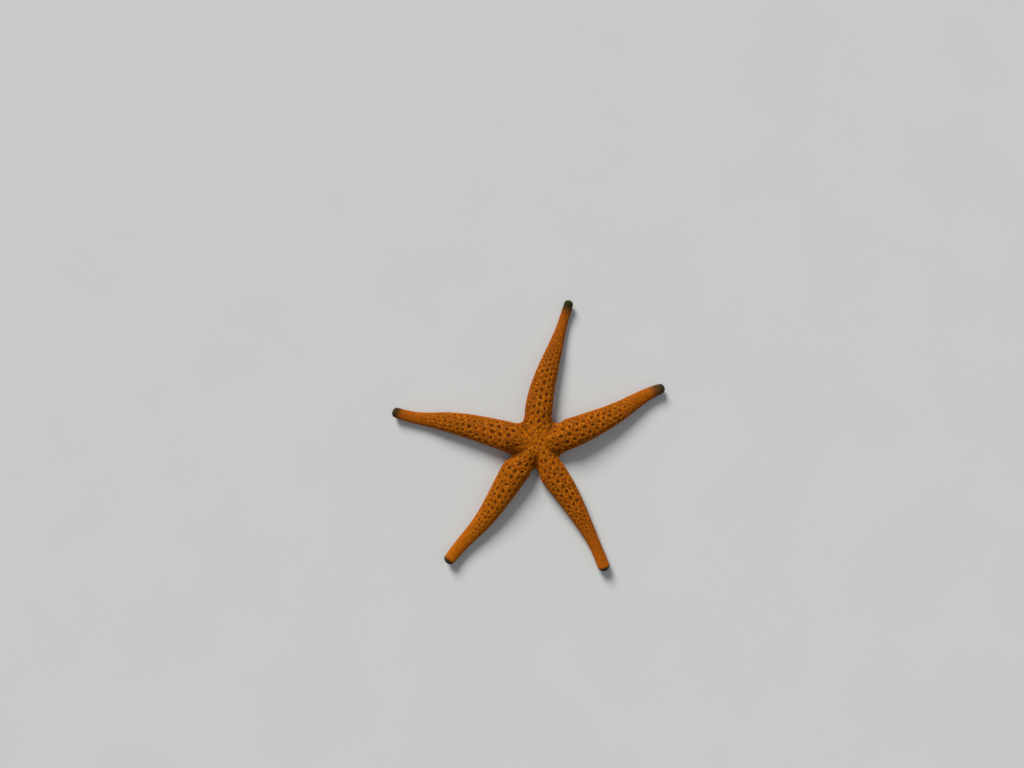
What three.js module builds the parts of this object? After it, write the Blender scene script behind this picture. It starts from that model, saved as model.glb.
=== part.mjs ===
// A smooth five-armed sea star at life size, lying on level ground.
// Millimetres. +Z rises out of the back, +Y runs towards the tip of the first arm.
// The body is lofted as one surface: five arms whose first ribs meet along the five
// creases between them, from the middle of the back down to the mouth. It is parted
// into named pieces by leaving a thin gap between one loft and the next.

import * as THREE from 'three';
import { mergeVertices } from 'three/addons/utils/BufferGeometryUtils.js';

// ---- Driving dimensions -------------------------------------------------------------

const JOIN_GAP = 0.3;

// Arms clockwise, seen from above. Headings in degrees from +X and widths in
// millimetres are both given at equal steps from the middle of the disc to the tip.
// The notch is the corner between an arm and the next one clockwise.
const ARMS = [
  {
    name: 'arm_1',
    length: 79.2,
    headings: [94.5, 81.5, 71.8, 72.6, 73],
    widths: [16.9, 15.3, 13.1, 9.7, 6.0, 5.2],
    notch: { bearing: 51, radius: 13.5 },
  },
  {
    name: 'arm_2',
    length: 74.4,
    headings: [9, 20.8, 25.2, 31.5, 20],
    widths: [18.0, 16.8, 14.5, 11.3, 7.9, 5.5],
    notch: { bearing: -33.3, radius: 13.8 },
  },
  {
    name: 'arm_3',
    length: 76.5,
    headings: [-74.8, -56, -59.5, -63.4, -71],
    widths: [16.4, 15.4, 13.4, 9.8, 6.7, 6.6],
    notch: { bearing: -95.2, radius: 14.5 },
  },
  {
    name: 'arm_4',
    length: 80.2,
    headings: [-133.5, -123, -123, -133, -127],
    widths: [16.2, 15.6, 13.6, 10.5, 7.6, 6.2],
    notch: { bearing: -152.5, radius: 16.5 },
  },
  {
    name: 'arm_5',
    length: 80,
    headings: [174.6, 164.8, 167.5, 173, 161],
    widths: [17.2, 16.4, 14.2, 11.3, 7.1, 5.8],
    notch: { bearing: 129.2, radius: 13.9 },
  },
];

// Height of an arm as a share of its width, at equal steps from the disc to the tip.
const HEIGHT_SHARES = [0.74, 0.735, 0.755, 0.79, 0.84, 0.86];

const DISC_REACH = 19;          // how far the disc runs out along each arm
const DISC_HEIGHT = 10.6;       // top of the back, over the mouth
const CREASE_HEIGHT = 9.8;      // height that the crease profile is drawn to
const CREASE_RISE_POWER = 6;    // over 1, a crease climbs to the top late and steeply
const CREASE_FILLET = 0.85;     // how broadly the corner between two arms rounds out
const WIDEST_LEVEL = 0.44;      // height of the widest level, as a share of the height

const FLAT_SHARE = 1.12;        // over 1, the underside is cut level beside the groove
const BACK_POWER = 0.96;        // below 1, the back is fuller than an ellipse
const BELLY_POWER = 0.8;

const GROOVE_DEPTH = 0.26;      // as a share of the arm's height
const GROOVE_HALF_WIDTH = 0.27; // as a share of the arm's half width
const MOUTH_RECESS = 3.0;
const MOUTH_RECESS_RADIUS = 4.2;

const TIP_LIFT = 1.7;           // the tips turn up from the ground
const TIP_LIFT_LENGTH = 13;
const TIP_ROUNDING = 0.4;       // length of the rounded end, as a share of the tip's width
const TIP_PIECE = 4.4;          // length of the plate that caps each arm
const TIP_SWELL = 0.03;         // the cap is a little fuller than the arm behind it

const INNER_SHARE = 0.48;       // where the inner length of an arm ends
const MIDDLE_SHARE = 0.74;      // where the middle length ends

const PLATE_PITCH = 4.2;        // spacing of the skin plates along an arm
const PLATE_RELIEF = 0.16;      // height of a plate over the mean surface

const RIB_STEP = PLATE_PITCH / 2;
const DISC_RIBS = 7;
const TIP_ANGLES = [0, 26, 50, 70];
const TRACE_STEPS = 160;

// Half of a rib, from the bottom of the groove up one flank to the ridge of the back.
const HALF_RIB = [-90, -83, -77, -60, -38, -15, 8, 28, 49, 70, 90];
const BESIDE_GROOVE = -60;      // angle at which the underside is level

const MADREPORITE = { distance: 6.6, radius: 1.7, height: 0.9, clearance: 0.42 };
const MOUTH = { radius: 2.4, base: 0.95, height: 1.5, rimHeight: 0.4 };
const EYESPOT = { radius: 0.45, squash: 0.8, inset: 0.5, sink: 0.07 };

// ---- Colours ------------------------------------------------------------------------

const flesh = new THREE.MeshStandardMaterial({ color: 0xb4641a, roughness: 0.55, metalness: 0 });
const darkPlate = new THREE.MeshStandardMaterial({ color: 0x4a3a1e, roughness: 0.5, metalness: 0 });
const sieve = new THREE.MeshStandardMaterial({ color: 0xc98a3c, roughness: 0.6, metalness: 0 });
const membrane = new THREE.MeshStandardMaterial({ color: 0xc79a5e, roughness: 0.45, metalness: 0 });
const eyeRed = new THREE.MeshStandardMaterial({ color: 0xa3261c, roughness: 0.35, metalness: 0 });

// ---- Curves -------------------------------------------------------------------------

const radians = THREE.MathUtils.degToRad;

function direction(degrees) {
  return new THREE.Vector2(Math.cos(radians(degrees)), Math.sin(radians(degrees)));
}

// Smooth value at t (0 to 1) of a list given at equal steps.
function along(values, t) {
  const last = values.length - 1;
  const x = THREE.MathUtils.clamp(t, 0, 1) * last;
  const i = Math.min(Math.floor(x), last - 1);
  const f = x - i;
  const at = (k) => values[THREE.MathUtils.clamp(k, 0, last)];
  const start = at(i);
  const end = at(i + 1);
  const startSlope = (end - at(i - 1)) / 2;
  const endSlope = (at(i + 2) - start) / 2;
  return hermite(f, start, startSlope, end, endSlope);
}

function hermite(f, start, startSlope, end, endSlope) {
  const f2 = f * f;
  const f3 = f2 * f;
  return (2 * f3 - 3 * f2 + 1) * start
    + (f3 - 2 * f2 + f) * startSlope
    + (3 * f2 - 2 * f3) * end
    + (f3 - f2) * endSlope;
}

function traceCentreLine(arm) {
  const step = arm.length / TRACE_STEPS;
  const points = [new THREE.Vector2(0, 0)];
  for (let i = 0; i < TRACE_STEPS; i += 1) {
    const heading = along(arm.headings, (i + 0.5) / TRACE_STEPS);
    points.push(points[i].clone().addScaledVector(direction(heading), step));
  }
  return points;
}

const centreLines = ARMS.map(traceCentreLine);

function centreAt(armIndex, distance) {
  const x = (distance / ARMS[armIndex].length) * TRACE_STEPS;
  const i = Math.min(Math.floor(x), TRACE_STEPS - 1);
  const line = centreLines[armIndex];
  return line[i].clone().lerp(line[i + 1], x - i);
}

// ---- The body's surface -------------------------------------------------------------

// Half outline of the body, cut upright. Returns how far out and how high the outline
// stands at an angle that runs from -90 (middle of the belly) to 90 (middle of the back).
function outline(angle, halfWidth, height, recess, recessHalfWidth) {
  const c = Math.abs(Math.cos(radians(angle)));
  const s = Math.sin(radians(angle));
  const widest = WIDEST_LEVEL * height;
  if (s >= 0) {
    const out = halfWidth * c ** BACK_POWER;
    return [out, widest + (height - widest) * s ** BACK_POWER];
  }
  const out = halfWidth * c ** BELLY_POWER;
  const belly = widest * Math.max(0, 1 - FLAT_SHARE * (-s) ** BELLY_POWER);
  const share = Math.max(0, 1 - (out / recessHalfWidth) ** 2);
  return [out, belly + recess * share ** 1.3];
}

function tipScale(arm, distance) {
  const rounding = TIP_ROUNDING * arm.widths.at(-1);
  const into = Math.max(0, distance - (arm.length - rounding)) / rounding;
  return Math.sqrt(Math.max(0, 1 - into * into));
}

function tipLift(arm, distance) {
  const into = Math.max(0, distance - (arm.length - TIP_LIFT_LENGTH)) / TIP_LIFT_LENGTH;
  return TIP_LIFT * into * into;
}

function tipSwell(arm, distance) {
  const fromEnd = arm.length - distance;
  return 1 + TIP_SWELL * THREE.MathUtils.smoothstep(TIP_PIECE + JOIN_GAP - fromEnd, 0, 1);
}

// Plates stand in rows along the arm, each row half a plate on from its neighbours.
function plateRelief(arm, distance, row) {
  const fade = 1 - THREE.MathUtils.smoothstep(distance, 0.6 * arm.length, 0.9 * arm.length);
  return PLATE_RELIEF * fade * Math.cos(Math.PI * (distance / RIB_STEP + row));
}

// A point of an arm's surface at a distance along it and an angle round it, from -90
// (belly) over the left flank at 0 and the back at 90 to the right flank at 180.
function armPoint(armIndex, distance, angle, row) {
  const arm = ARMS[armIndex];
  const t = distance / arm.length;
  const width = along(arm.widths, t) * tipSwell(arm, distance);
  const height = width * along(HEIGHT_SHARES, t);
  const halfWidth = width / 2;
  const [out, up] = outline(
    angle, halfWidth, height, GROOVE_DEPTH * height, GROOVE_HALF_WIDTH * halfWidth);
  const relief = angle > 0 && angle < 180 ? plateRelief(arm, distance, row) : 0;
  const scale = tipScale(arm, distance) * (1 + relief / halfWidth);
  const side = Math.cos(radians(angle)) < 0 ? -1 : 1;
  const middle = WIDEST_LEVEL * height;
  const isFlat = up === 0 && scale >= 1;
  const level = isFlat ? 0 : middle + (up - middle) * scale;
  const centre = centreAt(armIndex, distance);
  const left = direction(along(arm.headings, t) + 90);
  centre.addScaledVector(left, side * out * scale);
  return new THREE.Vector3(centre.x, centre.y, Math.max(0, level) + tipLift(arm, distance));
}

// A point of the crease between an arm and the next one clockwise, and how the crease
// moves on as the angle falls.
function creasePoint(notch, angle) {
  const [out, up] = outline(
    angle, notch.radius, CREASE_HEIGHT, MOUTH_RECESS, MOUTH_RECESS_RADIUS);
  const away = direction(notch.bearing).multiplyScalar(out);
  const climb = Math.max(0, Math.sin(radians(angle))) ** CREASE_RISE_POWER;
  const rise = (DISC_HEIGHT - CREASE_HEIGHT) * climb;
  return new THREE.Vector3(away.x, away.y, up + rise);
}

// Height of the back over a crease, at a distance out from the middle of the disc.
function creaseLevel(notch, distance) {
  for (let angle = 0; angle < 90; angle += 0.5) {
    const point = creasePoint(notch, angle);
    if (Math.hypot(point.x, point.y) <= distance) return point.z;
  }
  return DISC_HEIGHT;
}

function foldAngle(angle) {
  return angle > 90 ? 180 - angle : angle;
}

// The disc's part of an arm: a patch that leaves the crease squarely, so that two arms
// meet without a ridge, and runs into the arm's first upright rib.
function discPoint(armIndex, share, angle, row) {
  const arm = ARMS[armIndex];
  const onLeft = angle <= 90;
  const notch = onLeft ? ARMS[(armIndex + ARMS.length - 1) % ARMS.length].notch : arm.notch;
  const folded = foldAngle(angle);
  const start = creasePoint(notch, folded);
  const end = armPoint(armIndex, DISC_REACH, angle, row);
  const endSlope = armPoint(armIndex, DISC_REACH + 1, angle, row).sub(end);

  const turn = radians(notch.bearing - arm.headings[0]);
  const halfAngle = Math.abs(Math.atan2(Math.sin(turn), Math.cos(turn)));
  const flankShare = Math.cos(radians(folded)) ** 2;
  const ridgeShare = 1 - flankShare;
  const across = direction(notch.bearing + (onLeft ? -90 : 90));
  const reach = DISC_REACH - Math.hypot(start.x, start.y) * Math.cos(halfAngle);
  const acrossLength = DISC_REACH * Math.sin(halfAngle) * ridgeShare
    + CREASE_FILLET * reach * flankShare;
  const downLength = DISC_REACH * Math.cos(halfAngle) * ridgeShare;
  const nudge = 0.5;
  const ahead = creasePoint(notch, Math.max(-90, folded - nudge));
  const behind = creasePoint(notch, Math.min(90, folded + nudge));
  const down = folded > 0 ? ahead.sub(behind) : behind.sub(ahead);
  const run = Math.max(1e-6, Math.hypot(down.x, down.y));
  const startSlope = down.multiplyScalar(downLength / run);
  startSlope.x += across.x * acrossLength;
  startSlope.y += across.y * acrossLength;

  return new THREE.Vector3(
    hermite(share, start.x, startSlope.x, end.x, endSlope.x * reach),
    hermite(share, start.y, startSlope.y, end.y, endSlope.y * reach),
    Math.max(0, hermite(share, start.z, startSlope.z, end.z, endSlope.z * reach)),
  );
}

// ---- Lofting ------------------------------------------------------------------------

// Whole rib: up the left flank, over the back and down the right flank.
const RIB = [...HALF_RIB, ...HALF_RIB.slice(1, -1).reverse().map((angle) => 180 - angle)];

function rowOf(index) {
  return Math.min(index, RIB.length - index);
}

function armRib(armIndex, distance) {
  return RIB.map((angle, i) => armPoint(armIndex, distance, angle, rowOf(i)));
}

function discRib(armIndex, share) {
  return RIB.map((angle, i) => discPoint(armIndex, share, angle, rowOf(i)));
}

function pushTriangle(positions, a, b, c) {
  positions.push(a.x, a.y, a.z, b.x, b.y, b.z, c.x, c.y, c.z);
}

function skinBetween(positions, rib, nextRib) {
  rib.forEach((corner, i) => {
    const j = (i + 1) % rib.length;
    pushTriangle(positions, corner, rib[j], nextRib[j]);
    pushTriangle(positions, corner, nextRib[j], nextRib[i]);
  });
}

function middleOf(rib) {
  const sum = rib.reduce((total, point) => total.add(point), new THREE.Vector3());
  return sum.divideScalar(rib.length);
}

function closeEnd(positions, rib, apex) {
  rib.forEach((corner, i) => pushTriangle(positions, apex, corner, rib[(i + 1) % rib.length]));
}

function closeStart(positions, rib) {
  const apex = middleOf(rib);
  rib.forEach((corner, i) => pushTriangle(positions, apex, rib[(i + 1) % rib.length], corner));
}

function solidFrom(positions) {
  const geometry = new THREE.BufferGeometry();
  geometry.setAttribute('position', new THREE.Float32BufferAttribute(positions, 3));
  const merged = mergeVertices(geometry, 1e-4);
  merged.computeVertexNormals();
  return merged;
}

function loft(ribs, apex) {
  const positions = [];
  closeStart(positions, ribs[0]);
  for (let i = 1; i < ribs.length; i += 1) {
    skinBetween(positions, ribs[i - 1], ribs[i]);
  }
  closeEnd(positions, ribs.at(-1), apex ?? middleOf(ribs.at(-1)));
  return solidFrom(positions);
}

// Rib places from one cut to the next, on the plates' own spacing in between.
function stations(from, to) {
  const list = [from];
  const first = Math.ceil((from + 0.3 * RIB_STEP - DISC_REACH) / RIB_STEP);
  for (let k = first; DISC_REACH + k * RIB_STEP < to - 0.3 * RIB_STEP; k += 1) {
    list.push(DISC_REACH + k * RIB_STEP);
  }
  list.push(to);
  return list;
}

// ---- Pieces -------------------------------------------------------------------------

function makeMesh(name, geometry, material) {
  const mesh = new THREE.Mesh(geometry, material);
  mesh.name = name;
  return mesh;
}

function makeDisc() {
  const positions = [];
  ARMS.forEach((arm, armIndex) => {
    const ribs = [];
    for (let k = 0; k <= DISC_RIBS; k += 1) {
      ribs.push(discRib(armIndex, k / DISC_RIBS));
    }
    for (let k = 1; k <= DISC_RIBS; k += 1) {
      skinBetween(positions, ribs[k - 1], ribs[k]);
    }
    closeEnd(positions, ribs.at(-1), middleOf(ribs.at(-1)));
  });
  return makeMesh('disc', solidFrom(positions), flesh);
}

function makeLength(armIndex, suffix, from, to) {
  const ribs = stations(from + JOIN_GAP / 2, to - JOIN_GAP / 2).map((at) => armRib(armIndex, at));
  return makeMesh(`${ARMS[armIndex].name}_${suffix}`, loft(ribs), flesh);
}

function tipApex(armIndex) {
  const arm = ARMS[armIndex];
  const centre = centreAt(armIndex, arm.length);
  const height = arm.widths.at(-1) * HEIGHT_SHARES.at(-1);
  return new THREE.Vector3(centre.x, centre.y, WIDEST_LEVEL * height + TIP_LIFT);
}

function makeTip(armIndex) {
  const arm = ARMS[armIndex];
  const rounding = TIP_ROUNDING * arm.widths.at(-1);
  const shoulder = arm.length - rounding;
  const places = TIP_ANGLES.map((angle) => shoulder + rounding * Math.sin(radians(angle)));
  const start = arm.length - TIP_PIECE + JOIN_GAP / 2;
  const ribs = [start, ...places].map((at) => armRib(armIndex, at));
  return makeMesh(`${arm.name}_tip`, loft(ribs, tipApex(armIndex)), darkPlate);
}

// A red light-sensing cushion under the very end of each arm.
function makeEyespot(armIndex) {
  const arm = ARMS[armIndex];
  const ball = new THREE.SphereGeometry(EYESPOT.radius, 8, 6);
  ball.scale(1, 1, EYESPOT.squash);
  const spot = makeMesh(`${arm.name}_eyespot`, mergeVertices(stripped(ball)), eyeRed);
  const place = arm.length - EYESPOT.inset;
  const middle = centreAt(armIndex, place);
  const under = armPoint(armIndex, place, BESIDE_GROOVE, 0).z;
  const drop = EYESPOT.radius * EYESPOT.squash - EYESPOT.sink;
  spot.position.set(middle.x, middle.y, under - drop);
  return spot;
}

function stripped(geometry) {
  geometry.deleteAttribute('normal');
  geometry.deleteAttribute('uv');
  return geometry;
}

// The sieve plate: a low round button over the crease between the first and last arms,
// leaning with the back.
function makeMadreporite() {
  const { radius, height, distance, clearance } = MADREPORITE;
  const profile = [
    new THREE.Vector2(0, 0),
    new THREE.Vector2(radius, 0),
    new THREE.Vector2(radius * 1.04, height * 0.4),
    new THREE.Vector2(radius * 0.82, height * 0.85),
    new THREE.Vector2(radius * 0.4, height),
    new THREE.Vector2(0, height * 0.94),
  ];
  const button = stripped(new THREE.LatheGeometry(profile, 20));
  button.rotateX(Math.PI / 2);
  const mesh = makeMesh('madreporite', mergeVertices(button, 1e-4), sieve);
  const { notch } = ARMS[ARMS.length - 1];
  const fall = creaseLevel(notch, distance - radius) - creaseLevel(notch, distance + radius);
  const place = direction(notch.bearing).multiplyScalar(distance);
  const lean = direction(notch.bearing + 90);
  mesh.quaternion.setFromAxisAngle(
    new THREE.Vector3(lean.x, lean.y, 0), Math.atan2(fall, 2 * radius));
  mesh.position.set(place.x, place.y, creaseLevel(notch, distance) + clearance);
  return mesh;
}

// The soft lip round the mouth, set up in the recess where the five grooves meet.
function makeMouth() {
  const { radius, base, height, rimHeight } = MOUTH;
  const profile = [
    new THREE.Vector2(0, height * 0.3),
    new THREE.Vector2(radius * 0.3, height * 0.2),
    new THREE.Vector2(radius * 0.6, 0),
    new THREE.Vector2(radius * 0.92, rimHeight * 0.4),
    new THREE.Vector2(radius, rimHeight),
    new THREE.Vector2(0, height),
  ];
  const lip = stripped(new THREE.LatheGeometry(profile, 20));
  lip.rotateX(Math.PI / 2);
  const mesh = makeMesh('mouth', mergeVertices(lip, 1e-4), membrane);
  mesh.position.z = base;
  return mesh;
}

// ---- Assembly -----------------------------------------------------------------------

const animal = new THREE.Group();
animal.add(makeDisc(), makeMadreporite(), makeMouth());
ARMS.forEach((arm, armIndex) => {
  const innerEnd = INNER_SHARE * arm.length;
  const middleEnd = MIDDLE_SHARE * arm.length;
  const outerEnd = arm.length - TIP_PIECE;
  animal.add(
    makeLength(armIndex, 'inner', DISC_REACH + JOIN_GAP / 2, innerEnd),
    makeLength(armIndex, 'middle', innerEnd, middleEnd),
    makeLength(armIndex, 'outer', middleEnd, outerEnd),
    makeTip(armIndex),
    makeEyespot(armIndex),
  );
});

// The origin is the middle of the star's plan, on the ground.
const extent = new THREE.Box3().setFromObject(animal, true);
const middle = extent.getCenter(new THREE.Vector3());
animal.position.set(-middle.x, -middle.y, 0);

const starfish = new THREE.Group();
starfish.add(animal);

export default starfish;
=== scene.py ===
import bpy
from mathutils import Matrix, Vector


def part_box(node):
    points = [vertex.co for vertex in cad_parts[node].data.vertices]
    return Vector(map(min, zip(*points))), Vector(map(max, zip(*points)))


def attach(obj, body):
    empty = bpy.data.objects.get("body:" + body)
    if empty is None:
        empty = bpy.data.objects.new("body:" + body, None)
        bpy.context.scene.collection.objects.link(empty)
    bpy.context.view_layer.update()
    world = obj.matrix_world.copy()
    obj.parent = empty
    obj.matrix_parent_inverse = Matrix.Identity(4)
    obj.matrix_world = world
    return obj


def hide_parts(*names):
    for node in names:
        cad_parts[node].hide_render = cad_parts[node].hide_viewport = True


bl_info = {
    "name": "Smooth starfish",
    "version": (1, 0, 0),
    "blender": (4, 5, 0),
    "location": "View3D > Sidebar > Starfish",
    "description": "Finishes a life-size smooth starfish: skin, granules, pores, plates and feet",
    "category": "Object",
}

import math
from itertools import product
from typing import NamedTuple

import bmesh
import bpy
import numpy as np
from bpy.props import FloatProperty, FloatVectorProperty, IntProperty, PointerProperty
from bpy.types import Operator, Panel, PropertyGroup
from mathutils import Matrix, Vector

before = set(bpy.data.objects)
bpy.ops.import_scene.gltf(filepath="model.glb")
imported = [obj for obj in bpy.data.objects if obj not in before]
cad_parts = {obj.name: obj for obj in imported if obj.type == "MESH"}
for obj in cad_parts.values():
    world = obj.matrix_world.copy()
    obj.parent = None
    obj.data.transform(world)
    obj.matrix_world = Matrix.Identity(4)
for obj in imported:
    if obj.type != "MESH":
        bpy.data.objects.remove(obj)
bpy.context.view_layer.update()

MM = 0.001
BODY = "root"

# The mouth sits under the middle of the disc, so its box gives the disc's place.
MOUTH_LOW, MOUTH_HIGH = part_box("mouth")
DISC_CENTRE = np.array([(MOUTH_LOW.x + MOUTH_HIGH.x) / 2, (MOUTH_LOW.y + MOUTH_HIGH.y) / 2, 0.0])

# ---- Build of the body, in millimetres and degrees, as the frame's solids have it ----


class Arm(NamedTuple):
    """One arm. Its headings and widths are at equal steps from disc to tip."""

    name: str
    length: float
    headings: tuple
    widths: tuple
    notch: tuple  # bearing and radius of the notch towards the next arm clockwise
    crease_end: tuple  # where the crease from that notch ends, near the disc's middle
    cap: float  # length of the dark end plate
    dark_reach: float  # stretches the darkness that runs back from the tip
    bright: float  # how much of the net's tone the outer arm takes


# Clockwise, seen from above. Two lines for each: course and widths, then notch, crease and end.
# fmt: off
ARMS = (
    Arm("arm_1", 79.2, (94.5, 81.5, 71.8, 72.6, 73), (16.9, 15.3, 13.1, 9.7, 6.0, 5.2),
        (51.0, 13.5), (3.9, 2.6), 4.0, 1.3, 0.0),
    Arm("arm_2", 74.4, (9, 20.8, 25.2, 31.5, 20), (18.0, 16.8, 14.5, 11.3, 7.9, 5.5),
        (-33.3, 13.8), (4.2, -3.6), 2.6, 1.35, 0.16),
    Arm("arm_3", 76.5, (-74.8, -56, -59.5, -63.4, -71), (16.4, 15.4, 13.4, 9.8, 6.7, 6.6),
        (-95.2, 14.5), (-1.0, -5.4), 1.8, 0.42, 0.0),
    Arm("arm_4", 80.2, (-133.5, -123, -123, -133, -127), (16.2, 15.6, 13.6, 10.5, 7.6, 6.2),
        (-152.5, 16.5), (-4.4, -3.6), 2.4, 0.5, 0.55),
    Arm("arm_5", 80.0, (174.6, 164.8, 167.5, 173, 161), (17.2, 16.4, 14.2, 11.3, 7.1, 5.8),
        (129.2, 13.9), (-4.1, 2.3), 2.6, 0.8, 0.24),
)
# fmt: on
HEIGHT_SHARES = (0.74, 0.735, 0.755, 0.79, 0.84, 0.86)  # of the width, from disc to tip
DISC_REACH = 19.0  # how far along every arm the disc's patch runs
DISC_HEIGHT = 10.6
CREASE_HEIGHT = 9.8
CREASE_RISE_POWER = 6  # the higher, the later a crease climbs from its height to the disc's
CREASE_FILLET = 0.85  # roundness of the flank in the notch between two arms
WIDEST_LEVEL = 0.44  # share of the height at which the body is widest
FLAT_SHARE = 1.12  # over 1, so that the belly has a flat part on the ground
BACK_POWER = 0.96  # 1 is an ellipse, and less is squarer
BELLY_POWER = 0.8
GROOVE_DEPTH = 0.26  # share of the height
GROOVE_HALF_WIDTH = 0.27  # share of the half width
RECESS_POWER = 1.3
MOUTH_RECESS = 3.0
MOUTH_RECESS_RADIUS = 4.2
TIP_LIFT = 1.7
TIP_LIFT_LENGTH = 13.0
TIP_ROUNDING = 0.4  # share of the width at the end
TRACE_STEPS = 160
BASE_WIDTH = 15.0  # width of an arm where pores, feet and spines are full-grown

# ---- Curves ----


def hermite(f, start, start_slope, end, end_slope):
    f2 = f * f
    f3 = f2 * f
    return (
        (2 * f3 - 3 * f2 + 1) * start
        + (f3 - 2 * f2 + f) * start_slope
        + (3 * f2 - 2 * f3) * end
        + (f3 - f2) * end_slope
    )


def along(values, t):
    """Smooth value at t, from 0 to 1, of a list given at equal steps."""
    values = np.asarray(values, float)
    last = len(values) - 1
    x = np.clip(t, 0.0, 1.0) * last
    i = np.minimum(np.floor(x).astype(int), last - 1)
    before, start, end, after = (values[np.clip(i + k, 0, last)] for k in (-1, 0, 1, 2))
    return hermite(x - i, start, (end - before) / 2, end, (after - start) / 2)


def smooth(low, high, x):
    t = np.clip((np.asarray(x, float) - low) / (high - low), 0.0, 1.0)
    return t * t * (3 - 2 * t)


def bell(x, middle, width):
    return np.exp(-(((x - middle) / width) ** 2))


def sine(degrees):
    return np.sin(np.radians(degrees))


def cosine(degrees):
    return np.cos(np.radians(degrees))


def heading_vector(degrees):
    return np.stack([cosine(degrees), sine(degrees)], -1)


def trace_centre_line(arm):
    middles = (np.arange(TRACE_STEPS) + 0.5) / TRACE_STEPS
    steps = heading_vector(along(arm.headings, middles)) * arm.length / TRACE_STEPS
    return np.vstack([[0.0, 0.0], np.cumsum(steps, 0)])


CENTRE_LINES = [trace_centre_line(arm) for arm in ARMS]


def centre_at(index, distance):
    places = np.linspace(0.0, ARMS[index].length, TRACE_STEPS + 1)
    return np.stack([np.interp(distance, places, row) for row in CENTRE_LINES[index].T], -1)


def leftward(index, distance):
    """Level direction to the left of an arm's centre line."""
    return heading_vector(along(ARMS[index].headings, distance / ARMS[index].length) + 90)


def unit(vectors):
    return vectors / np.maximum(1e-9, np.linalg.norm(vectors, axis=-1, keepdims=True))


def ripple(points, lengths, seed):
    """Slow, even unevenness between -1 and 1, from a few crossing waves."""
    random = np.random.default_rng(seed)
    total = np.zeros(points.shape[:-1])
    for length in lengths:
        way = random.normal(size=3)
        way /= np.linalg.norm(way)
        total += np.sin(points @ way * (2 * math.pi / length) + random.uniform(0, 2 * math.pi))
    return total / len(lengths)


# ---- The body's surface ----


def outline(angle, half_width, height, recess, recess_half_width):
    """How far out and how high the half outline stands, from -90 (belly) to 90 (back)."""
    c, s = np.abs(cosine(angle)), sine(angle)
    widest = WIDEST_LEVEL * height
    rise = np.maximum(s, 0.0) ** BACK_POWER
    fall = np.maximum(-s, 0.0) ** BELLY_POWER
    out = half_width * np.where(s >= 0, c**BACK_POWER, c**BELLY_POWER)
    belly = widest * np.maximum(0.0, 1 - FLAT_SHARE * fall)
    share = np.maximum(0.0, 1 - (out / recess_half_width) ** 2)
    up = np.where(s >= 0, widest + (height - widest) * rise, belly + recess * share**RECESS_POWER)
    return out, up


def arm_width(index, distance):
    return along(ARMS[index].widths, np.asarray(distance) / ARMS[index].length)


def tip_shape(arm):
    """Length of the rounding at an arm's end, and the distance where it starts."""
    rounding = TIP_ROUNDING * arm.widths[-1]
    return rounding, arm.length - rounding


def arm_points(index, distance, angle):
    """Points at distances along an arm and angles round it: -90 belly, 0 left, 90 back."""
    distance, angle = np.broadcast_arrays(np.asarray(distance, float), np.asarray(angle, float))
    arm = ARMS[index]
    width = arm_width(index, distance)
    height = width * along(HEIGHT_SHARES, distance / arm.length)
    half = width / 2
    out, up = outline(angle, half, height, GROOVE_DEPTH * height, GROOVE_HALF_WIDTH * half)
    rounding, shoulder = tip_shape(arm)
    into = np.maximum(0.0, distance - shoulder) / rounding
    scale = np.sqrt(np.maximum(0.0, 1 - into * into))
    middle = WIDEST_LEVEL * height
    lift = np.maximum(0.0, distance - (arm.length - TIP_LIFT_LENGTH)) / TIP_LIFT_LENGTH
    side = np.where(cosine(angle) < 0, -1.0, 1.0)
    plan = centre_at(index, distance) + leftward(index, distance) * (side * out * scale)[..., None]
    level = np.maximum(0.0, middle + (up - middle) * scale) + TIP_LIFT * lift * lift
    return np.concatenate([plan, level[..., None]], -1)


def crease_outline(notch, angle):
    return outline(angle, notch[1], CREASE_HEIGHT, MOUTH_RECESS, MOUTH_RECESS_RADIUS)


def crease_points(notch, angle):
    """Points of the crease between two arms, over the angles of a half outline."""
    out, up = crease_outline(notch, angle)
    climb = np.maximum(0.0, sine(angle)) ** CREASE_RISE_POWER
    rise = (DISC_HEIGHT - CREASE_HEIGHT) * climb
    plan = heading_vector(notch[0]) * out[..., None]
    return np.concatenate([plan, (up + rise)[..., None]], -1)


def notch_beside(index, on_left):
    return ARMS[index - 1 if on_left else index].notch


def half_angle(index, notch):
    turn = math.radians(notch[0] - ARMS[index].headings[0])
    return abs(math.atan2(math.sin(turn), math.cos(turn)))


def disc_side_points(index, share, angle, on_left):
    """The disc's part of one side of an arm, from the crease (0) to the first rib (1)."""
    notch = notch_beside(index, on_left)
    folded = angle if on_left else 180 - angle
    start = crease_points(notch, folded)
    end = arm_points(index, DISC_REACH, angle)
    end_slope = arm_points(index, DISC_REACH + 1, angle) - end
    turn = half_angle(index, notch)
    flank = cosine(folded) ** 2
    reach = DISC_REACH - np.hypot(start[..., 0], start[..., 1]) * math.cos(turn)
    across = DISC_REACH * math.sin(turn) * (1 - flank) + CREASE_FILLET * reach * flank
    ahead = crease_points(notch, np.maximum(-90, folded - 0.5))
    behind = crease_points(notch, np.minimum(90, folded + 0.5))
    down = np.where((folded > 0)[..., None], ahead - behind, behind - ahead)
    run = np.maximum(1e-6, np.hypot(down[..., 0], down[..., 1]))
    start_slope = down * (DISC_REACH * math.cos(turn) * (1 - flank) / run)[..., None]
    sideways = heading_vector(notch[0] + (-90 if on_left else 90))
    start_slope[..., :2] += sideways * across[..., None]
    points = hermite(share[..., None], start, start_slope, end, end_slope * reach[..., None])
    points[..., 2] = np.maximum(0.0, points[..., 2])
    return points


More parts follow.
